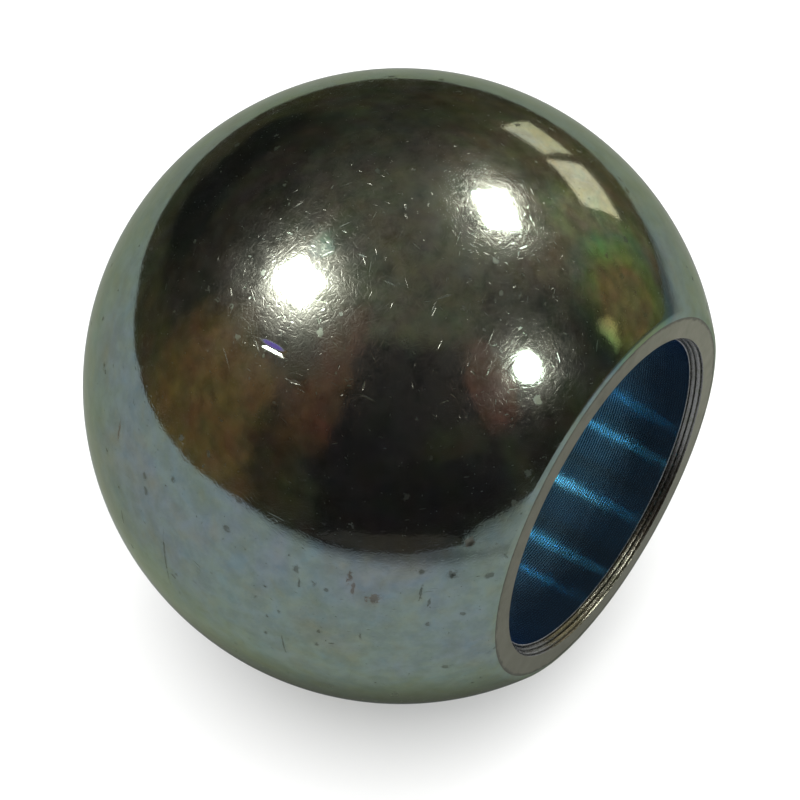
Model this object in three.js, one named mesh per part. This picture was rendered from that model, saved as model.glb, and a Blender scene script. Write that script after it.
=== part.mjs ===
// A bored hitch ball: one turned steel ball with two flat ends and a hole right through it.
// It slides onto a hitch pin and swivels in a spherical socket.
//
// Millimetres, +Z up. The origin is the centre of the ball, and the bore runs along Y.
import * as THREE from "three";

// Driving dimensions: a category 1 link ball, 44 mm ball, 35 mm wide, 22.4 mm bore.
const BALL_DIAMETER = 44;
const WIDTH = 35;
const BORE_DIAMETER = 22.4;
const EDGE_ROUND = 0.8; // radius that blends the ball into each flat end

// The mouth of the bore, from the flat end inwards: each step is [radius over the bore, depth].
// A steep lip, a wide chamfer, a small step and a narrow chamfer.
const MOUTH_STEPS = [
  [0.41, 0],
  [0.38, 0.12],
  [0.18, 0.46],
  [0.16, 0.58],
  [0, 0.83],
];

const AROUND = 72; // facets round the bore axis
const BALL_ARC_STEPS = 30; // even, so that one ring lies on the equator
const ROUND_STEPS = 3;

const ballRadius = BALL_DIAMETER / 2;
const boreRadius = BORE_DIAMETER / 2;
const halfWidth = WIDTH / 2;

// The edge round is an arc that touches the flat end and, from inside, the ball.
const roundCentre = new THREE.Vector2(
  Math.sqrt((ballRadius - EDGE_ROUND) ** 2 - (halfWidth - EDGE_ROUND) ** 2),
  halfWidth - EDGE_ROUND,
);
const ballMeetsRound = Math.atan2(roundCentre.y, roundCentre.x);

// Points of an arc in the profile plane, where x is the radius and y lies along the bore.
function arc(centre, radius, from, to, steps) {
  return Array.from({ length: steps + 1 }, (_, i) => {
    const angle = from + ((to - from) * i) / steps;
    return new THREE.Vector2(
      centre.x + radius * Math.cos(angle),
      centre.y + radius * Math.sin(angle),
    );
  });
}

// One side's mouth, from the flat end down to the bore. side is 1 at +Y and -1 at -Y.
function mouth(side) {
  return MOUTH_STEPS.map(
    ([over, depth]) => new THREE.Vector2(boreRadius + over, side * (halfWidth - depth)),
  );
}

// The ball's closed outline: mouth, flat end, round, ball, round, flat end, mouth, bore.
function outline() {
  const nearCentre = new THREE.Vector2(roundCentre.x, -roundCentre.y);
  const middle = new THREE.Vector2(0, 0);
  const ball = arc(middle, ballRadius, -ballMeetsRound, ballMeetsRound, BALL_ARC_STEPS);
  const points = [
    ...mouth(-1).reverse(),
    ...arc(nearCentre, EDGE_ROUND, -Math.PI / 2, -ballMeetsRound, ROUND_STEPS),
    ...ball.slice(1, -1),
    ...arc(roundCentre, EDGE_ROUND, ballMeetsRound, Math.PI / 2, ROUND_STEPS),
    ...mouth(1),
  ];
  return [...points, points[0].clone()];
}

function linkBall() {
  const geometry = new THREE.LatheGeometry(outline(), AROUND);
  const zincPlate = new THREE.MeshStandardMaterial({
    color: new THREE.Color(0.5, 0.54, 0.53),
    metalness: 1,
    roughness: 0.22,
  });
  const mesh = new THREE.Mesh(geometry, zincPlate);
  mesh.name = "link_ball";
  return mesh;
}

const hitchBall = new THREE.Group();
hitchBall.add(linkBall());

export default hitchBall;
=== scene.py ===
"""The looks of a bored hitch ball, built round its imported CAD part.

One revolved mesh stands for the CAD node: the ball, its two flat ends, the stepped mouths and the
turned bore. Lengths are metres, and the bore runs along Y through the origin.
"""

import math

import bmesh
import bpy
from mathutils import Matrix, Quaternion, Vector


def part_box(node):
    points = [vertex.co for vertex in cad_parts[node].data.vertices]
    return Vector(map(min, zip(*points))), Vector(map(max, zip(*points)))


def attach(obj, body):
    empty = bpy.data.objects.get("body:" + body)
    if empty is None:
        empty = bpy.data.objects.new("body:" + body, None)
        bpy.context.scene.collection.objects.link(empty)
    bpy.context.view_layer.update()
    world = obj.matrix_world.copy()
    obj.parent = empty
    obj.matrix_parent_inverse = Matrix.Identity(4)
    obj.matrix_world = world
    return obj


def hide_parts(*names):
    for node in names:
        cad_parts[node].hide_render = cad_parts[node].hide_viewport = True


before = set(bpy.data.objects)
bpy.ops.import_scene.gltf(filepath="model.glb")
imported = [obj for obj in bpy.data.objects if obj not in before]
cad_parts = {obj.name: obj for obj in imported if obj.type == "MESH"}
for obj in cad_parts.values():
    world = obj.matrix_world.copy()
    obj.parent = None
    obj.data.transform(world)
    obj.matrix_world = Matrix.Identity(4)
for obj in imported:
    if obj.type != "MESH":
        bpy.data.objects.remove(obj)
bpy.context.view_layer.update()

MM = 0.001
LOW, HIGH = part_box("link_ball")

# The ball. Its radius and width come from the frame, the rest are the CAD part's own sizes.
BALL_RADIUS = (HIGH.z - LOW.z) / 2
HALF_WIDTH = (HIGH.y - LOW.y) / 2
BORE_RADIUS = 11.2 * MM
MOUTH_DEPTH = 0.83 * MM
EDGE_ROUND = 0.8 * MM

# The mouth of the bore, from the flat end inwards, as (radius over the bore, depth) in mm.
# Two turned lands with a narrow groove beside each.
MOUTH_STEPS = [
    (0.41, 0.0), (0.39, 0.02), (0.375, 0.1), (0.365, 0.15),
    (0.32, 0.18), (0.27, 0.29), (0.215, 0.41),
    (0.23, 0.44), (0.225, 0.48),
    (0.17, 0.51), (0.125, 0.62), (0.075, 0.73),
    (0.085, 0.75), (0.08, 0.78),
    (0.0, 0.83),
]
SHARP_MOUTH_STEPS = (0, 3, 6, 8, 11, 13, 14)

# The turned grooves of the bore: one for each turn of the tool.
BORE_FEED = 0.18 * MM
BORE_GROOVE_DEPTH = 0.010 * MM
ROWS_PER_GROOVE = 3

AROUND_BORE = 84
FINE_PER_COARSE = 3
AROUND_BALL = AROUND_BORE * FINE_PER_COARSE
BALL_ROWS = 112
EDGE_ROUND_ROWS = 9

BALL, FACE, MOUTH, BORE = range(4)  # the mesh's material slots

# Damage to the ball. A place on it is an angle round the bore from +X towards +Z, in degrees, and a
# distance along the bore in mm. The gouge is a V with walls as steep as the lamp needs to glint in it.
GOUGE_PLACE = (133.7, -2.75)
GOUGE_HALF_LENGTH = 0.86 * MM
GOUGE_HALF_WIDTH = 0.23 * MM
GOUGE_DEPTH = 0.044 * MM
GOUGE_END_STEEPNESS = 2.5
PIT_DEPTH = 0.03 * MM

# Where the damage is, the faces are divided more finely: how far round and along, and by how many cuts.
GOUGE_REACH = (0.75 * MM, 1.3 * MM)
GOUGE_CUTS = 9
PIT_REACH = 2  # in sizes of the pit
PIT_CUTS = 5
SURFACE_SLACK = 0.05 * MM

# Marks as (angle, along the bore, half size round the bore, half size along it), sizes in mm.
RUST_MARKS = [
    (168.9, -12.1, 0.34, 0.34), (165.0, -10.8, 0.4, 0.12), (167.2, -11.05, 0.4, 0.09),
    (160.2, 6.5, 0.6, 0.11), (152.2, -15.7, 0.3, 0.22),
]
DARK_MARKS = [
    (160.6, -15.4, 0.26, 0.24), (166.0, -14.25, 0.5, 0.07), (168.4, -14.7, 0.3, 0.06),
    (160.9, -14.1, 0.14, 0.13), (160.2, -17.0, 0.16, 0.16), (172.1, -16.2, 0.12, 0.4),
    (-167.9, -15.5, 0.22, 0.32), (166.2, -7.9, 0.2, 0.17), (168.8, -8.2, 0.3, 0.08),
    (168.8, -9.7, 0.12, 0.12), (160.4, 0.9, 0.16, 0.16), (166.2, 3.1, 0.22, 0.2),
    (177.5, 1.35, 1.9, 0.08), (178.1, 6.0, 0.5, 0.08), (-173.7, -7.1, 0.8, 0.05),
    (-177.4, -10.1, 0.08, 0.36), (179.5, -11.6, 0.36, 0.06),
]
# A painted purple fringe lies beside the gouge, standing in for the coloured rim of its glint.
PAINTED_FRINGE_MARKS = [(133.25, -2.65, 0.14, 0.86)]
# Where the ball is rubbed most, as directions from its centre.
WORN_TOP = (-0.400, -0.330, 0.855)
WORN_SIDE = (-0.625, -0.120, 0.771)
# Two smaller patches are rubbed raw, and one has kept more of its polish.
RAW_BACK = (-0.119, -0.200, 0.972)
RAW_SIDE = (-0.642, -0.141, 0.754)
POLISHED = (-0.443, -0.135, 0.886)
# The middle of a spot of thicker film, and the three marks that lie in a pit.
BLOOM_PLACE = (84.5, -15.8)
PITS = [RUST_MARKS[0], DARK_MARKS[0], RUST_MARKS[4]]


# ---------------------------------------------------------------- the mesh

class Ring:
    """One turn of points round the bore axis, and what the band of faces after it is made of."""

    def __init__(self, radius, y, count, slot, sharp=False):
        self.radius = radius
        self.y = y
        self.count = count
        self.slot = slot
        self.sharp = sharp


def ball_rings():
    """The ball, from its -Y edge to its +Y edge, with the edge rounds that meet the flat ends."""
    centre_y = HALF_WIDTH - EDGE_ROUND
    centre_radius = math.sqrt((BALL_RADIUS - EDGE_ROUND) ** 2 - centre_y ** 2)
    meeting = math.atan2(centre_y, centre_radius)
    rounded = []
    for i in range(EDGE_ROUND_ROWS):
        angle = math.pi / 2 + (meeting - math.pi / 2) * i / EDGE_ROUND_ROWS
        radius = centre_radius + EDGE_ROUND * math.cos(angle)
        rounded.append((radius, centre_y + EDGE_ROUND * math.sin(angle)))
    rings = [Ring(r, -y, AROUND_BALL, BALL) for r, y in rounded]
    for i in range(BALL_ROWS + 1):
        angle = -meeting + 2 * meeting * i / BALL_ROWS
        radius = BALL_RADIUS * math.cos(angle)
        rings.append(Ring(radius, BALL_RADIUS * math.sin(angle), AROUND_BALL, BALL))
    rings += [Ring(r, y, AROUND_BALL, BALL) for r, y in reversed(rounded)]
    rings[-1].slot = FACE
    return rings


def mouth_rings(side):
    """One mouth, from the flat end inwards. side is 1 at +Y and -1 at -Y."""
    rings = []
    for i, (over, depth) in enumerate(MOUTH_STEPS):
        radius = BORE_RADIUS + over * MM
        y = side * (HALF_WIDTH - depth * MM)
        rings.append(Ring(radius, y, AROUND_BORE, MOUTH, i in SHARP_MOUTH_STEPS))
    return rings


def bore_rings():
    """The bore's turned wall, from the +Y mouth to the -Y mouth, without its two end rings."""
    length = 2 * (HALF_WIDTH - MOUTH_DEPTH)
    grooves = round(length / BORE_FEED)
    rows = grooves * ROWS_PER_GROOVE
    rings = []
    for i in range(1, rows):
        cut = 0 if i % ROWS_PER_GROOVE == 0 else BORE_GROOVE_DEPTH
        y = length / 2 - length * i / rows
        rings.append(Ring(BORE_RADIUS + cut, y, AROUND_BORE, BORE))
    return rings


def outline():
    """Every ring in order, from the inner edge of the -Y flat end round the ball and back."""
    near = list(reversed(mouth_rings(-1)))
    far = mouth_rings(1)
    near[-1].slot = FACE
    far[-1].slot = BORE
    return near + ball_rings() + far + bore_rings()


def band(inner, outer):
    """Joins two rings of points with faces. One ring may have FINE_PER_COARSE times the other's."""
    if len(inner) > len(outer):
        return [tuple(reversed(f)) for f in band(outer, inner)]
    count = len(inner)
    step = len(outer) // count
    made = []
    for i in range(count):
        a, b = inner[i], inner[(i + 1) % count]
        fine = [outer[(i * step + k) % len(outer)] for k in range(step + 1)]
        if step == 1:
            made.append((a, fine[0], fine[1], b))
            continue
        made += [(a, fine[0], fine[1]), (a, fine[1], fine[2], b), (b, fine[2], fine[3])]
    return made


def revolve(rings):
    """A closed bmesh from rings of points round the Y axis."""
    mesh = bmesh.new()
    turns = []
    for ring in rings:
        angles = [2 * math.pi * i / ring.count for i in range(ring.count)]
        points = [(ring.radius * math.cos(a), ring.y, ring.radius * math.sin(a)) for a in angles]
        turns.append([mesh.verts.new(p) for p in points])
    for i, ring in enumerate(rings):
        following = turns[(i + 1) % len(rings)]
        for corners in band(turns[i], following):
            face = mesh.faces.new(corners)
            face.material_index = ring.slot
            face.smooth = True
    for ring, turn in zip(rings, turns):
        if ring.sharp:
            for i, point in enumerate(turn):
                mesh.edges.get((point, turn[(i + 1) % len(turn)])).smooth = False
    bmesh.ops.recalc_face_normals(mesh, faces=mesh.faces)
    return mesh


def on_ball(angle, along):
    """The point of the ball's surface at a place given as in the lists of damage."""
    turn = math.radians(angle)
    radius = math.sqrt(BALL_RADIUS ** 2 - (along * MM) ** 2)
    return Vector((radius * math.cos(turn), along * MM, radius * math.sin(turn)))


def refine(mesh, centre, round_reach, along_reach, cuts):
    """Divides the faces near centre, and puts the new points back on the sphere. Returns them."""
    def near(point, margin=1.0):
        offset = point - centre
        across = math.hypot(offset.x, offset.z)
        return across < round_reach * margin and abs(offset.y) < along_reach * margin
    faces = [f for f in mesh.faces if near(f.calc_center_median())]
    edges = list({e for f in faces for e in f.edges})
    bmesh.ops.subdivide_edges(mesh, edges=edges, cuts=cuts, use_grid_fill=True)
    points = [v for v in mesh.verts if near(v.co, 1.6)]
    for point in points:
        if abs(point.co.length - BALL_RADIUS) < SURFACE_SLACK:
            point.co = point.co.normalized() * BALL_RADIUS
    return points


def cut_gouge(mesh):
    """A nick with straight walls, as from a blow with an edge."""
    centre = on_ball(*GOUGE_PLACE)
    sideways = Vector((0, 1, 0)).cross(centre).normalized()
    for point in refine(mesh, centre, *GOUGE_REACH, GOUGE_CUTS):
        across = abs((point.co - centre).dot(sideways)) / GOUGE_HALF_WIDTH
        along = abs(point.co.y - centre.y) / GOUGE_HALF_LENGTH
        if across < 1 and along < 1:
            depth = GOUGE_DEPTH * min(1 - across, GOUGE_END_STEEPNESS * (1 - along))
            point.co = point.co.normalized() * (BALL_RADIUS - depth)


def cut_pits(mesh):
    """Shallow bowls under the largest marks."""
    for angle, along, round_size, along_size in PITS:
        centre = on_ball(angle, along)
        size = max(round_size, along_size) * MM
        for point in refine(mesh, centre, PIT_REACH * size, PIT_REACH * size, PIT_CUTS):
            distance = (point.co - centre).length / size
            if distance < 1:
                depth = PIT_DEPTH * (1 - distance ** 2) ** 2
                point.co = point.co.normalized() * (BALL_RADIUS - depth)


def build_ball():
    mesh = revolve(outline())
    cut_gouge(mesh)
    cut_pits(mesh)
    data = bpy.data.meshes.new("hitch_ball")
    mesh.to_mesh(data)
    mesh.free()
    piece = bpy.data.objects.new("hitch_ball", data)
    bpy.context.scene.collection.objects.link(piece)
    for material in (ball_plate(), end_face(), mouth_cut(), bore_wall()):
        data.materials.append(material)
    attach(piece, "root")
    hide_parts("link_ball")
    return piece


# ---------------------------------------------------------------- node helpers

class Nodes:
    """Adds nodes to one tree. A value that is a socket is linked, and any other is set."""

    def __init__(self, tree):
        self.tree = tree

    def add(self, kind, inputs=None, **settings):
        node = self.tree.nodes.new(kind)
        for name, value in settings.items():
            setattr(node, name, value)
        for name, value in (inputs or {}).items():
            if isinstance(value, bpy.types.NodeSocket):
                self.tree.links.new(value, node.inputs[name])
            else:
                node.inputs[name].default_value = value
        return node

    def math(self, operation, *values, clamp=False):
        inputs = dict(enumerate(values))
        node = self.add("ShaderNodeMath", inputs, operation=operation, use_clamp=clamp)
        return node.outputs[0]

    def vector(self, operation, *values, output="Vector"):
        node = self.add("ShaderNodeVectorMath", dict(enumerate(values)), operation=operation)
        return node.outputs[output]

    def dot(self, vector, other):
        return self.vector("DOT_PRODUCT", vector, other, output="Value")

    def noise(self, vector, scale, detail=2.0, roughness=0.5, distortion=0.0):
        values = {"Vector": vector, "Scale": scale, "Detail": detail,
                  "Roughness": roughness, "Distortion": distortion}
        return self.add("ShaderNodeTexNoise", values).outputs["Fac"]

    def span(self, value, low, high, to_low=0.0, to_high=1.0, smooth=True):
        """value from low..high is brought to to_low..to_high, and held there outside it."""
        values = {"Value": value, "From Min": low, "From Max": high,
                  "To Min": to_low, "To Max": to_high}
        kind = "SMOOTHSTEP" if smooth else "LINEAR"
        return self.add("ShaderNodeMapRange", values, interpolation_type=kind).outputs[0]

    def mix(self, factor, a, b, blend="MIX"):
        node = self.tree.nodes.new("ShaderNodeMix")
        node.data_type = "RGBA"
        node.blend_type = blend
        sockets = [s for s in node.inputs if s.enabled]
        for socket, value in zip(sockets, (factor, a, b)):
            if isinstance(value, bpy.types.NodeSocket):
                self.tree.links.new(value, socket)
            else:
                socket.default_value = value
        return next(s for s in node.outputs if s.enabled)

    def ramp(self, factor, stops):
        node = self.add("ShaderNodeValToRGB", {"Fac": factor})
        elements = node.color_ramp.elements
        while len(elements) < len(stops):
            elements.new(0.5)
        for element, (position, colour) in zip(elements, stops):
            element.position = position
            element.color = (*colour, 1)
        return node.outputs["Color"]

    def bump(self, height, distance, normal=None):
        values = {"Height": height, "Distance": distance, "Strength": 1.0}
        if normal is not None:
            values["Normal"] = normal
        return self.add("ShaderNodeBump", values).outputs["Normal"]


def metal(name):
    """A new material with one metallic shader. Returns (material, nodes, shader, object coordinates)."""
    material = bpy.data.materials.new(name)
    material.use_nodes = True
    nodes = Nodes(material.node_tree)
    shader = material.node_tree.nodes["Principled BSDF"]
    shader.inputs["Metallic"].default_value = 1.0
    place = nodes.add("ShaderNodeTexCoord").outputs["Object"]
    return material, nodes, shader, place


def connect(nodes, shader, **sockets):
    for name, value in sockets.items():
        nodes.tree.links.new(value, shader.inputs[name.replace("_", " ")])


# ---------------------------------------------------------------- materials

DARK_SPOT = (0.11, 0.12, 0.095, 1)
RUST = (0.19, 0.13, 0.09, 1)
PAINTED_FRINGE_COLOUR = (0.10, 0.075, 0.40, 1)
PAINTED_GROOVE_SHADE = (0.11, 0.27, 0.37, 1)

# Painted light makes the flat ends' colour paler on one side, and the bore scatters more light on
# another.
PAINTED_LIGHT_SIDE = (0.52, -0.80, 0.30)
SCATTERING_SIDE = (0.50, -0.62, -0.60)


def turn_along(heading):
    """The rotation that lays slivers of noise flat on the worn top, at a heading in degrees."""
    top = Vector(WORN_TOP).normalized()
    east = top.cross(Vector((0, 1, 0))).normalized()
    north = top.cross(east)
    way = east * math.cos(math.radians(heading)) + north * math.sin(math.radians(heading))
    return (0.0, math.atan2(way.z, way.x), -math.asin(way.y))


def strokes(nodes, place, headings, length, width, low, high, seed=0.0):
    """Short marks in several directions: slivers of noise, long one way and thin the other two.
    The value is 0 off the marks and 1 on them."""
    marks = None
    for i, heading in enumerate(headings):
        turned = nodes.add("ShaderNodeMapping", {"Vector": place, "Rotation": turn_along(heading)})
        stretched = nodes.vector("MULTIPLY", turned.outputs[0], (1 / length, 1 / width, 1 / width))
        moved = nodes.vector("ADD", stretched, (seed + 7.3 * i, 0, 0))
        slivers = nodes.span(nodes.noise(moved, 1.0, 1.0), low, high)
        marks = slivers if marks is None else nodes.math("MAXIMUM", marks, slivers)
    return marks


def dimmed(nodes, colour, share):
    """colour with its brightness brought to a share of it, which may be more than 1."""
    grey = nodes.add("ShaderNodeCombineColor", {0: share, 1: share, 2: share}).outputs[0]
    return nodes.mix(1.0, colour, grey, "MULTIPLY")


def grain_of(nodes, turned, sizes, detail, roughness=0.5):
    """Noise with features of the given sizes in mm: round the bore, across the radius and along."""
    scale = tuple(1 / (size * MM) for size in sizes)
    return nodes.noise(nodes.vector("MULTIPLY", turned, scale), 1.0, detail, roughness)


def film_tint(nodes, place):
    """The colour of the passivated zinc: tints in patches some millimetres wide, and finer mottle."""
    patches = nodes.noise(place, 95, 3, 0.55, 0.8)
    tint = nodes.ramp(patches, [
        (0.30, (0.375, 0.430, 0.355)),
        (0.42, (0.360, 0.455, 0.400)),
        (0.52, (0.355, 0.445, 0.425)),
        (0.60, (0.355, 0.425, 0.435)),
        (0.70, (0.400, 0.430, 0.400)),
    ])
    fine = nodes.ramp(nodes.noise(place, 620, 3, 0.6, 0.4), [
        (0.32, (1.04, 0.98, 0.86)),
        (0.46, (0.99, 1.00, 0.96)),
        (0.56, (1.00, 1.00, 1.02)),
        (0.68, (0.92, 0.99, 1.07)),
    ])
    tint = nodes.mix(1.0, tint, fine, "MULTIPLY")
    dapple = nodes.span(nodes.noise(place, 800, 3, 0.6), 0.3, 0.7, 0.88, 1.09)
    return bloom(nodes, place, dimmed(nodes, tint, dapple))


def bloom(nodes, place, tint):
    """One spot of thicker film beside the -Y flat end, ringed with the colours of a thin film."""
    centre = on_ball(*BLOOM_PLACE)
    reach = nodes.vector("DISTANCE", place, tuple(centre), output="Value")
    reach = nodes.math("ADD", reach, nodes.math("MULTIPLY", nodes.noise(place, 420, 2), 1.6 * MM))
    rings = nodes.ramp(nodes.span(reach, 0.8 * MM, 6.8 * MM, smooth=False), [
        (0.0, (0.38, 0.35, 0.22)),
        (0.34, (0.37, 0.36, 0.21)),
        (0.44, (0.32, 0.42, 0.21)),
        (0.56, (0.26, 0.43, 0.27)),
        (0.68, (0.22, 0.37, 0.38)),
        (0.85, (0.31, 0.37, 0.36)),
    ])
    return nodes.mix(nodes.span(reach, 4.9 * MM, 6.2 * MM, 0.9, 0.0), tint, rings)


def marks_at(nodes, place, listed, ragged):
    """1 inside the listed marks and 0 outside, with a ragged edge."""
    nearest = None
    for angle, along, round_size, along_size in listed:
        centre = on_ball(angle, along)
        scale = (1 / (round_size * MM), 1 / (along_size * MM), 1 / (round_size * MM))
        moved = nodes.vector("SUBTRACT", place, tuple(centre))
        reach = nodes.vector("LENGTH", nodes.vector("MULTIPLY", moved, scale), output="Value")
        nearest = reach if nearest is None else nodes.math("MINIMUM", nearest, reach)
    return nodes.span(nodes.math("ADD", nearest, ragged), 1.45, 0.65)


def specks(nodes, place, scale, share, small, large, ragged):
    """Small spots in a share of the cells, with sizes as parts of a cell."""
    cells = nodes.add("ShaderNodeTexVoronoi", {"Vector": place, "Scale": scale, "Randomness": 1.0})
    chance = nodes.add("ShaderNodeSeparateColor", {"Color": cells.outputs["Color"]})
    chosen = nodes.math("LESS_THAN", chance.outputs[0], share)
    size = nodes.span(chance.outputs[1], 0.0, 1.0, small, large)
    reach = nodes.math("DIVIDE", cells.outputs["Distance"], size)
    spot = nodes.span(nodes.math("ADD", reach, ragged), 1.5, 0.6)
    return nodes.math("MULTIPLY", spot, chosen)


def worn(nodes, place):
    """How much the surface is rubbed: most on top, little below, and uneven all over."""
    facing = nodes.vector("NORMALIZE", place)
    uneven = nodes.math("SUBTRACT", nodes.noise(place, 210, 3, 0.6), 0.5)
    top = nodes.math("MULTIPLY_ADD", uneven, 0.22, nodes.dot(facing, WORN_TOP))
    side = nodes.math("MULTIPLY_ADD", uneven, 0.09, nodes.dot(facing, WORN_SIDE))
    return nodes.math("MAXIMUM", nodes.span(top, 0.84, 0.98), nodes.span(side, 0.965, 1.0))


def spots(nodes, place):
    """Where the plate is pitted or stained, and where the painted purple fringe of the gouge's glint
    lies, from 0 to 1. Returns the dark marks, the rust and the painted fringe.
    """
    ragged = nodes.math("SUBTRACT", nodes.noise(place, 3300, 4, 0.75), 0.5)
    ragged = nodes.math("MULTIPLY", ragged, 4.5)
    dark = marks_at(nodes, place, DARK_MARKS, ragged)
    small = specks(nodes, place, 900.0, 0.30, 0.06, 0.18, ragged)
    large = specks(nodes, place, 400.0, 0.10, 0.05, 0.10, ragged)
    hairs = strokes(nodes, place, (25, 80, 130), 1.3 * MM, 0.13 * MM, 0.73, 0.82, 90.0)
    for marks in (small, large, hairs):
        dark = nodes.math("MAXIMUM", dark, marks)
    rust = marks_at(nodes, place, RUST_MARKS, ragged)
    painted_fringe = marks_at(nodes, place, PAINTED_FRINGE_MARKS, nodes.math("MULTIPLY", ragged, 0.15))
    return dark, rust, painted_fringe


def ball_colour(nodes, place, dark, rust, painted_fringe):
    """The film's tints, with the spots and the painted purple fringe of the gouge's glint over them."""
    colour = film_tint(nodes, place)
    colour = nodes.mix(nodes.math("MULTIPLY", dark, 0.6), colour, DARK_SPOT)
    colour = nodes.mix(nodes.math("MULTIPLY", rust, 0.6), colour, RUST)
    return nodes.mix(painted_fringe, colour, PAINTED_FRINGE_COLOUR)


def handling_marks(nodes, place, rubbed):
    """Short strokes in several directions, and fewer but deeper ones and dots among them. They show
    as rings of small arcs round the reflection of each lamp. Returns (fine, cuts)."""
    fine = strokes(nodes, place, (5, 38, 71, 104, 137, 170), 0.85 * MM, 0.18 * MM, 0.52, 0.86)
    deep = strokes(nodes, place, (12, 52, 97, 148), 2.6 * MM, 0.24 * MM, 0.72, 0.80, 40.0)
    dots = nodes.span(nodes.noise(place, 2300, 1), 0.74, 0.84)
    cuts = nodes.math("MAXIMUM", dots, deep)
    cuts = nodes.math("MULTIPLY", cuts, nodes.math("MULTIPLY_ADD", rubbed, 0.65, 0.35))
    return fine, cuts


def haze_of(nodes, place, rubbed, fine, cuts):
    """How much of the light is scattered: more where the ball is rubbed, and patchy everywhere."""
    patchy = nodes.span(nodes.noise(place, 560, 5, 0.75), 0.33, 0.67, 0.40, 1.45)
    facing = nodes.vector("NORMALIZE", place)
    raw = nodes.math("MAXIMUM", nodes.dot(facing, RAW_BACK), nodes.dot(facing, RAW_SIDE))
    raw = nodes.span(raw, 0.978, 1.0)
    polished = nodes.span(nodes.dot(facing, POLISHED), 0.970, 0.998)
    haze = nodes.math("MULTIPLY_ADD", rubbed, 0.60, 0.13)
    haze = nodes.math("MULTIPLY_ADD", raw, 0.50, haze)
    haze = nodes.math("MULTIPLY", haze, nodes.math("MULTIPLY_ADD", polished, -0.35, 1.0))
    haze = nodes.math("MULTIPLY", haze, patchy)
    # The strokes scatter more than what lies between them.
    clumps = nodes.span(nodes.noise(place, 480, 3, 0.6), 0.35, 0.65, 0.5, 1.4)
    scuffs = nodes.math("MULTIPLY", fine, nodes.math("ADD", rubbed, 0.3))
    scuffs = nodes.math("MAXIMUM", nodes.math("MULTIPLY", scuffs, clumps), cuts)
    return nodes.math("MULTIPLY_ADD", scuffs, 0.6, haze, clamp=True)


def ball_plate():
    """Bright zinc with blue passivation: nearly a mirror, tinted in patches, scratched and specked."""
    material, nodes, shader, place = metal("ball_plate")
    dark, rust, painted_fringe = spots(nodes, place)
    rubbed = worn(nodes, place)
    fine, cuts = handling_marks(nodes, place, rubbed)

    streaky = nodes.span(nodes.noise(place, 260, 3, 0.6), 0.3, 0.7, 0.05, 0.08)
    rough = nodes.math("MULTIPLY_ADD", nodes.math("MAXIMUM", dark, rust), 0.3, streaky)
    rough = nodes.math("MULTIPLY_ADD", cuts, 0.22, rough)
    # The ball is not quite true, so what it mirrors has slightly wavering edges.
    normal = nodes.bump(nodes.noise(place, 330, 2), 0.018 * MM)
    normal = nodes.bump(nodes.noise(place, 3200, 2, 0.6), 0.0004 * MM, normal)
    normal = nodes.bump(fine, -0.0009 * MM, normal)
    normal = nodes.bump(cuts, -0.003 * MM, normal)
    # The coat is the haze: the same strokes, cut deeper, under a wide soft highlight.
    scuffed = nodes.bump(fine, -0.0048 * MM)
    scuffed = nodes.bump(cuts, -0.014 * MM, scuffed)
    shader.inputs["Specular Tint"].default_value = (0.72, 0.75, 0.52, 1)
    shader.inputs["Coat IOR"].default_value = 2.4
    shader.inputs["Coat Roughness"].default_value = 0.25
    connect(nodes, shader, Base_Color=ball_colour(nodes, place, dark, rust, painted_fringe), Roughness=rough,
            Metallic=nodes.math("MULTIPLY_ADD", painted_fringe, -0.5, 1.0), Normal=normal,
            Coat_Weight=haze_of(nodes, place, rubbed, fine, cuts), Coat_Normal=scuffed)
    return material


def polar(nodes, place):
    """Coordinates that follow the turning: (way round, radius, along), all in metres."""
    split = nodes.add("ShaderNodeSeparateXYZ", {"Vector": place})
    x, y, z = (split.outputs[i] for i in range(3))
    radius = nodes.math("SQRT", nodes.math("MULTIPLY_ADD", x, x, nodes.math("MULTIPLY", z, z)))
    around = nodes.math("MULTIPLY", nodes.math("ARCTAN2", z, x), BORE_RADIUS)
    return nodes.add("ShaderNodeCombineXYZ", {0: around, 1: radius, 2: y}).outputs[0]


def end_face():
    """The flat ends: matte plated steel with fine concentric turning lines."""
    material, nodes, shader, place = metal("end_face")
    turned = polar(nodes, place)
    lines = grain_of(nodes, turned, (4, 0.07, 0.07), 2.0)
    blotch = nodes.noise(place, 900, 3, 0.6)
    colour = nodes.ramp(blotch, [
        (0.3, (0.26, 0.25, 0.165)),
        (0.5, (0.315, 0.305, 0.215)),
        (0.7, (0.365, 0.350, 0.260)),
    ])
    # Painted light: the flat ends' colour is made paler on one side and darker on the other.
    towards = nodes.dot(nodes.vector("NORMALIZE", place), PAINTED_LIGHT_SIDE)
    colour = dimmed(nodes, colour, nodes.span(towards, 0.72, 1.0, 0.88, 1.30))
    # The colour is darker in a broken line at the outer edge.
    radius = nodes.add("ShaderNodeSeparateXYZ", {"Vector": turned}).outputs["Y"]
    radius = nodes.math("MULTIPLY_ADD", nodes.noise(place, 1400, 3, 0.7), 0.5 * MM, radius)
    colour = dimmed(nodes, colour, nodes.span(radius, 13.05 * MM, 13.25 * MM, 1.0, 0.5))
    normal = nodes.bump(lines, 0.006 * MM)
    normal = nodes.bump(nodes.noise(place, 4200, 3, 0.7), 0.012 * MM, normal)
    rough = nodes.span(blotch, 0.3, 0.7, 0.36, 0.44)
    connect(nodes, shader, Base_Color=colour, Roughness=rough, Normal=normal)
    return material


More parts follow.
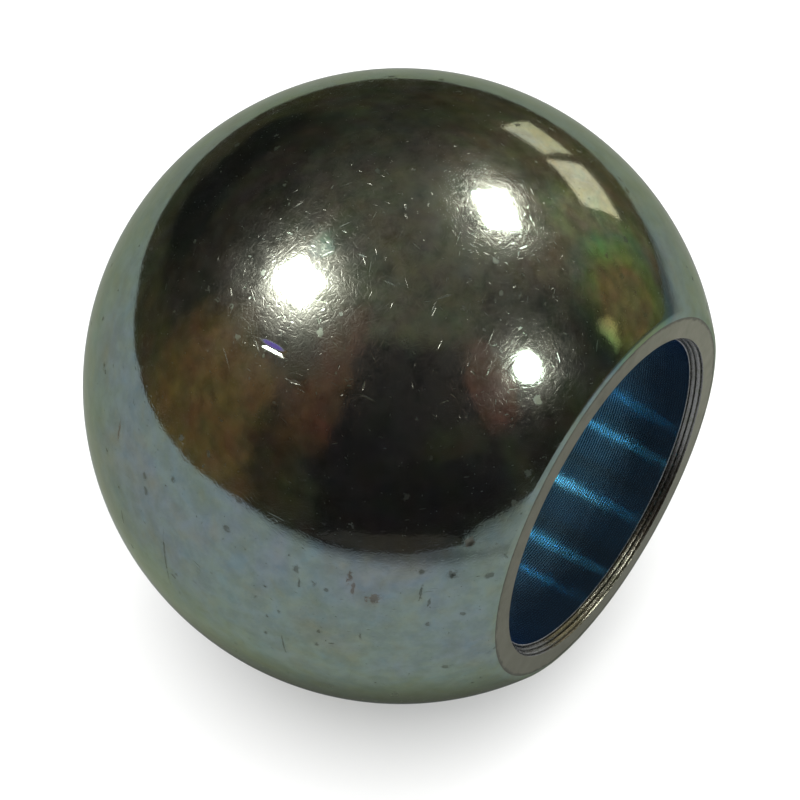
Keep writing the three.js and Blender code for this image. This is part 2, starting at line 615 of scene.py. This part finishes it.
def mouth_cut():
    """The chamfer's lands: brighter, with chatter marks that break up the glints."""
    material, nodes, shader, place = metal("mouth_cut")
    turned = polar(nodes, place)
    chatter = grain_of(nodes, turned, (0.3, 0.06, 0.06), 3.0, 0.65)
    colour = nodes.ramp(nodes.noise(place, 1500, 2), [
        (0.3, (0.40, 0.40, 0.35)),
        (0.5, (0.50, 0.49, 0.47)),
        (0.7, (0.46, 0.44, 0.43)),
    ])
    # Painted shade darkens the grooves beside the lands, and a painted highlight brightens the inner edge
    # at the bore.
    along = nodes.add("ShaderNodeSeparateXYZ", {"Vector": place}).outputs["Y"]
    depth = nodes.math("SUBTRACT", HALF_WIDTH, nodes.math("ABSOLUTE", along))
    depth = nodes.math("MULTIPLY_ADD", nodes.noise(turned, 1500, 2), 0.03 * MM, depth)
    painted_groove_shade_and_glint = nodes.ramp(nodes.span(depth, 0.0, MOUTH_DEPTH + 0.02 * MM, smooth=False), [
        (0.00, (0.8, 0.8, 0.8)), (0.11, (0.7, 0.7, 0.7)), (0.15, (0.20, 0.20, 0.17)),
        (0.22, (0.2, 0.2, 0.17)), (0.27, (0.9, 0.9, 0.9)), (0.45, (0.8, 0.8, 0.8)),
        (0.50, (0.18, 0.18, 0.15)), (0.60, (0.2, 0.2, 0.17)), (0.65, (0.75, 0.75, 0.75)),
        (0.81, (0.7, 0.7, 0.7)), (0.86, (0.13, 0.13, 0.11)), (0.95, (0.17, 0.17, 0.14)),
        (0.99, (1.2, 1.2, 1.2)),
    ])
    colour = nodes.mix(1.0, colour, painted_groove_shade_and_glint, "MULTIPLY")
    normal = nodes.bump(chatter, 0.013 * MM)
    rough = nodes.span(chatter, 0.3, 0.7, 0.19, 0.32)
    connect(nodes, shader, Base_Color=colour, Roughness=rough, Normal=normal)
    return material


def bore_wall():
    """The bore: the same plate with a thick blue film, over the turned grooves of the mesh, with painted
    shade in stripes along them. It scatters a little of the light, and its colour is darkened near the -Y
    mouth as painted shade."""
    material, nodes, shader, place = metal("bore_wall")
    turned = polar(nodes, place)
    streaks = grain_of(nodes, turned, (3, 3, 0.5), 3.0, 0.6)
    colour = nodes.ramp(streaks, [
        (0.3, (0.49, 0.72, 0.84)),
        (0.5, (0.52, 0.75, 0.87)),
        (0.7, (0.55, 0.77, 0.89)),
    ])
    along = nodes.add("ShaderNodeSeparateXYZ", {"Vector": place}).outputs["Y"]
    # Painted shade: the colour is darkened in stripes that follow the turned grooves.
    turn = nodes.math("MULTIPLY", along, 2 * math.pi / BORE_FEED)
    painted_stripe_shade = nodes.span(nodes.math("SINE", turn), -0.6, 0.6)
    colour = nodes.mix(nodes.math("MULTIPLY", painted_stripe_shade, 0.85), colour, PAINTED_GROOVE_SHADE)
    # Painted shade: the colour is darkened towards the -Y mouth.
    painted_shade_reach = nodes.math("MULTIPLY_ADD", nodes.noise(turned, 350, 2), 3 * MM, along)
    colour = dimmed(nodes, colour, nodes.span(painted_shade_reach, -13.6 * MM, -9.6 * MM, 0.27, 1.0))
    sideways = nodes.dot(nodes.vector("NORMALIZE", place), SCATTERING_SIDE)
    plated = nodes.span(sideways, 0.35, 0.75, 0.995, 0.94)
    shader.inputs["Sheen Weight"].default_value = 0.02
    shader.inputs["Sheen Roughness"].default_value = 0.8
    shader.inputs["Sheen Tint"].default_value = (0.04, 0.25, 1.0, 1)
    shader.inputs["Specular IOR Level"].default_value = 0.3
    normal = nodes.bump(grain_of(nodes, turned, (2.5, 0.1, 0.1), 2.0), 0.001 * MM)
    rough = nodes.span(streaks, 0.3, 0.7, 0.07, 0.11)
    connect(nodes, shader, Base_Color=colour, Roughness=rough, Normal=normal, Metallic=plated)
    return material


# ---------------------------------------------------------------- the stage

def direction(azimuth, elevation):
    """A unit vector. Azimuth turns from +X towards +Y, and elevation is above the horizon."""
    a, e = math.radians(azimuth), math.radians(elevation)
    return Vector((math.cos(a) * math.cos(e), math.sin(a) * math.cos(e), math.sin(e)))


# The camera: degrees round from -Y and above the horizon, ball radii from the centre, and its lens.
CAMERA_AZIMUTH = -51.84
CAMERA_ELEVATION = 43.585
CAMERA_DISTANCE = 4.567
CAMERA_LENS = 63.8
CAMERA_SHIFT = (-0.001, -0.0175)

# The floor for the eye, and the outlines of the sheets on it that the ball mirrors, as (x, y).
FLOOR_COLOUR = (0.86, 0.86, 0.855)
FLOOR_OUTLINE = [(-20, -20), (20, -20), (20, 20), (-20, 20)]
SHEET_COLOUR = (0.445, 0.465, 0.490)
SHEET_OUTLINE = [
    (-0.205, 0.03), (-0.168, -0.012), (-0.125, -0.052), (-0.1, -0.085), (-0.082, -0.125),
    (-0.1, -0.15), (-0.13, -0.24), (-0.175, -0.7), (0.45, -1.2), (1.3, 0.5), (-0.11, 0.72),
]
STRIP_COLOUR = (0.055, 0.047, 0.038)
STRIP_OUTLINE = [
    (-0.165, -0.04), (-0.12, -0.065), (-0.1, -0.09), (-0.082, -0.125),
    (-0.121, -0.163), (-0.169, -0.161), (-0.219, -0.144), (-0.241, -0.098),
]
SHEET_DROP = 0.1 * MM  # so that the mirrored sheets lie just under the floor

LAMP_DISTANCE = 0.5
LAMP_COLOUR = (0.95, 0.97, 0.79)

# Azimuth, elevation, angle across and tall, roll, radiance, colour and shape.
LAMPS = {
    "lamp_back": (139.4, 57.7, 13.6, 11.2, 19.5, 31, LAMP_COLOUR, "RECTANGLE"),
    "lamp_right": (-16.0, 56.2, 13.5, 10.3, -14, 19.5, LAMP_COLOUR, "RECTANGLE"),
    "lamp_front": (-86.8, 35.5, 9.3, 9.3, 0, 15, LAMP_COLOUR, "ELLIPSE"),
    "window_a": (-5.1, 18.9, 14.5, 13.5, 0, 1.1, (1.0, 0.78, 0.60), "RECTANGLE"),
    "window_b": (10.6, 17.8, 10.5, 12.0, 0, 0.9, (1.0, 0.82, 0.64), "RECTANGLE"),
}


def camera():
    """At the photograph's viewing angle: half from the side of the -Y end, and well above it."""
    data = bpy.data.cameras.new("camera")
    data.lens = CAMERA_LENS
    data.shift_x, data.shift_y = CAMERA_SHIFT
    data.clip_start = 1 * MM
    data.clip_end = 60
    holder = bpy.data.objects.new("camera", data)
    bpy.context.scene.collection.objects.link(holder)
    azimuth, elevation = math.radians(CAMERA_AZIMUTH), math.radians(CAMERA_ELEVATION)
    back = Vector((
        math.sin(azimuth) * math.cos(elevation),
        -math.cos(azimuth) * math.cos(elevation),
        math.sin(elevation),
    ))
    holder.location = back * BALL_RADIUS * CAMERA_DISTANCE
    holder.rotation_mode = "QUATERNION"
    holder.rotation_quaternion = (-back).to_track_quat("-Z", "Y")
    bpy.context.scene.camera = holder


def emitter(name, azimuth, elevation, across, tall, roll, radiance, colour, shape):
    """A flat lamp that faces the ball. across and tall are the angles that it fills, in degrees.
    Only shiny surfaces see it, so it makes highlights and leaves the floor's soft light alone."""
    data = bpy.data.lights.new(name, "AREA")
    data.shape = shape
    data.size = 2 * LAMP_DISTANCE * math.tan(math.radians(across / 2))
    data.size_y = 2 * LAMP_DISTANCE * math.tan(math.radians(tall / 2))
    area = data.size * data.size_y * (math.pi / 4 if shape == "ELLIPSE" else 1)
    data.energy = radiance * math.pi * area
    data.color = colour
    lamp = bpy.data.objects.new(name, data)
    bpy.context.scene.collection.objects.link(lamp)
    towards = direction(azimuth, elevation)
    lamp.location = towards * LAMP_DISTANCE
    lamp.rotation_mode = "QUATERNION"
    turn = Quaternion((0, 0, 1), math.radians(roll))
    lamp.rotation_quaternion = towards.to_track_quat("Z", "Y") @ turn
    lamp.visible_camera = False
    lamp.visible_diffuse = False


def flat_sheet(name, corners, height, colour):
    """A flat polygon at one height, matt. Returns (sheet, nodes, shader)."""
    data = bpy.data.meshes.new(name)
    data.from_pydata([(x, y, height) for x, y in corners], [], [tuple(range(len(corners)))])
    sheet = bpy.data.objects.new(name, data)
    bpy.context.scene.collection.objects.link(sheet)
    material = bpy.data.materials.new(name)
    material.use_nodes = True
    shader = material.node_tree.nodes["Principled BSDF"]
    shader.inputs["Base Color"].default_value = (*colour, 1)
    shader.inputs["Roughness"].default_value = 1.0
    shader.inputs["Specular IOR Level"].default_value = 0.0
    data.materials.append(material)
    return sheet, Nodes(material.node_tree), shader


def mirrored_sheet(name, corners, colour):
    """A sheet just under the floor that only shiny surfaces see. Returns (nodes, shader)."""
    sheet, nodes, shader = flat_sheet(name, corners, -BALL_RADIUS - SHEET_DROP, colour)
    sheet.visible_camera = False
    sheet.visible_diffuse = False
    sheet.visible_shadow = False
    return nodes, shader


def sheet_shade(nodes):
    """The sheet's brightness. It is dim close to the ball, which stands in the way of the light, at
    its near edge and in its far corner on the -Y side."""
    place = nodes.add("ShaderNodeTexCoord").outputs["Object"]
    away = nodes.vector("LENGTH", nodes.vector("MULTIPLY", place, (1, 1, 0)), output="Value")
    contact = nodes.span(away, 14 * MM, 27 * MM, 0.28, 1.0)
    edge = nodes.span(nodes.dot(place, (0.643, 0.766, 0.0)), -0.118, -0.082, 0.35, 1.0)
    split = nodes.add("ShaderNodeSeparateXYZ", {"Vector": place})
    x, y = split.outputs["X"], split.outputs["Y"]
    beyond = nodes.span(nodes.math("MULTIPLY_ADD", y, -0.1, x), -0.115, -0.02, 0.15, 0.95)
    beyond = nodes.math("MULTIPLY", nodes.span(y, -0.115, -0.07, 1.0, 0.0), beyond)
    shade = nodes.math("MULTIPLY", contact, nodes.math("MAXIMUM", edge, beyond))
    corner = nodes.math("MULTIPLY", nodes.span(y, -0.15, -0.05, 0.65, 0.0), nodes.span(x, 0.04, 0.12))
    return nodes.math("MULTIPLY", shade, nodes.math("SUBTRACT", 1.0, corner))


def floor():
    """A pale floor for the eye, and the dimmer sheets on it that the ball mirrors."""
    seen, _, _ = flat_sheet("floor", FLOOR_OUTLINE, -BALL_RADIUS, FLOOR_COLOUR)
    seen.visible_glossy = False
    nodes, shader = mirrored_sheet("mirrored_sheet", SHEET_OUTLINE, SHEET_COLOUR)
    connect(nodes, shader, Base_Color=dimmed(nodes, (*SHEET_COLOUR, 1), sheet_shade(nodes)))
    mirrored_sheet("mirrored_strip", STRIP_OUTLINE, STRIP_COLOUR)


def soft_light():
    """Broad light from above, for the floor only."""
    data = bpy.data.lights.new("soft_light", "SUN")
    data.energy = 2.6
    data.angle = math.radians(80)
    lamp = bpy.data.objects.new("soft_light", data)
    bpy.context.scene.collection.objects.link(lamp)
    lamp.rotation_euler = (math.radians(12), math.radians(-14), 0)
    lamp.visible_glossy = False


ROOM_COLOUR = (0.036, 0.031, 0.022, 1)
# What the ball mirrors besides the lamps, as soft patches in the order they are laid on:
# azimuth, elevation, half width, half height, softness of the rim (1 is the whole patch), colour.
ROOM_PATCHES = [
    (0, 90, 400, 34, 0.25, (0.092, 0.082, 0.051)),     # the ceiling
    (-25, 20, 48, 32, 0.3, (0.125, 0.098, 0.055)),     # an olive-brown wall behind the windows
    (-28, 17, 18, 15, 0.5, (0.205, 0.182, 0.108)),
    (-19, 25, 8, 13, 0.5, (0.270, 0.250, 0.135)),
    (54, 16, 18, 30, 0.4, (0.056, 0.050, 0.034)),
    (86, 21, 30, 21, 0.3, (0.034, 0.027, 0.019)),
    (78, 15, 23, 9, 0.4, (0.011, 0.011, 0.009)),
    (80, 0, 30, 7, 0.6, (0.055, 0.048, 0.028)),
    (120, 2, 10, 9, 0.6, (0.070, 0.050, 0.028)),
    (150, 12, 23, 24, 0.3, (0.155, 0.088, 0.034)),     # golden brown
    (176, 15, 9, 22, 0.5, (0.046, 0.034, 0.018)),
    (-139, 20, 31, 39, 0.1, (0.013, 0.011, 0.010)),    # a dark doorway
    (-176, 43, 9, 23, 0.4, (0.100, 0.044, 0.022)),     # brownish red
    (-103, 38, 8, 14, 0.3, (0.105, 0.046, 0.030)),
    (-123, 24, 10, 5, 0.6, (0.030, 0.027, 0.014)),
    (-88, 12, 9, 10, 0.6, (0.024, 0.020, 0.016)),
    (-66, 30, 15, 20, 0.6, (0.035, 0.034, 0.022)),
    (113, 66, 12, 4, 0.3, (0.480, 0.490, 0.420)),      # a pale panel by the back lamp
    (-50, 20, 2.4, 3.2, 0.7, (0.750, 0.680, 0.360)),   # a small spot of light
]


def room_colour(nodes, way):
    """The patches over the room's own colour, with a change of hue from place to place."""
    # The way is bent by noise first, so the patches come out uneven like things in a workshop.
    stray = nodes.add("ShaderNodeTexNoise", {"Vector": way, "Scale": 4.5, "Detail": 4.0}).outputs["Color"]
    stray = nodes.vector("SUBTRACT", stray, (0.5, 0.5, 0.5))
    bent = nodes.vector("MULTIPLY_ADD", stray, (0.3, 0.3, 0.3), way)
    split = nodes.add("ShaderNodeSeparateXYZ", {"Vector": nodes.vector("NORMALIZE", bent)})
    around = nodes.math("ARCTAN2", split.outputs[1], split.outputs[0])
    above = nodes.math("ARCSINE", split.outputs[2])
    colour = ROOM_COLOUR
    for azimuth, elevation, wide, tall, softness, shade in ROOM_PATCHES:
        aside = nodes.math("SUBTRACT", around, math.radians(azimuth))
        aside = nodes.math("WRAP", aside, math.pi, -math.pi)
        aside = nodes.math("DIVIDE", aside, math.radians(wide))
        up = nodes.math("SUBTRACT", above, math.radians(elevation))
        up = nodes.math("DIVIDE", up, math.radians(tall))
        both = nodes.add("ShaderNodeCombineXYZ", {0: aside, 1: up}).outputs[0]
        # Squared before the length is taken, so that a patch is a rectangle with round corners.
        reach = nodes.vector("LENGTH", nodes.vector("MULTIPLY", both, both), output="Value")
        rim = nodes.span(reach, (1 + softness) ** 2, (1 - softness) ** 2)
        colour = nodes.mix(rim, colour, (*shade, 1))
    hues = nodes.add("ShaderNodeTexNoise", {"Vector": way, "Scale": 8.0, "Detail": 5.0}).outputs["Color"]
    hues = nodes.vector("MULTIPLY_ADD", hues, (0.9, 0.9, 0.9), (0.55, 0.55, 0.55))
    return nodes.mix(1.0, colour, hues, "MULTIPLY")


def room():
    """The world: pale for the eye and the floor, and a dim room for what the metal mirrors."""
    world = bpy.data.worlds.new("room")
    bpy.context.scene.world = world
    world.use_nodes = True
    nodes = Nodes(world.node_tree)
    way = nodes.vector("NORMALIZE", nodes.add("ShaderNodeTexCoord").outputs["Generated"])
    mottle = nodes.span(nodes.noise(way, 17.0, 5, 0.65), 0.3, 0.7, 0.65, 1.35)
    dim = nodes.add("ShaderNodeBackground", {"Color": room_colour(nodes, way), "Strength": mottle})
    pale = nodes.add("ShaderNodeBackground", {"Color": (1.0, 1.0, 0.995, 1), "Strength": 1.0})
    shiny = nodes.add("ShaderNodeLightPath").outputs["Is Glossy Ray"]
    both = nodes.add("ShaderNodeMixShader", {0: shiny, 1: pale.outputs[0], 2: dim.outputs[0]})
    output = next(n for n in world.node_tree.nodes if n.type == "OUTPUT_WORLD")
    world.node_tree.links.new(both.outputs[0], output.inputs["Surface"])


def stage():
    camera()
    floor()
    soft_light()
    room()
    for name, settings in LAMPS.items():
        emitter(name, *settings)
    bpy.context.scene.view_settings.view_transform = "Standard"


stage()
build_ball()
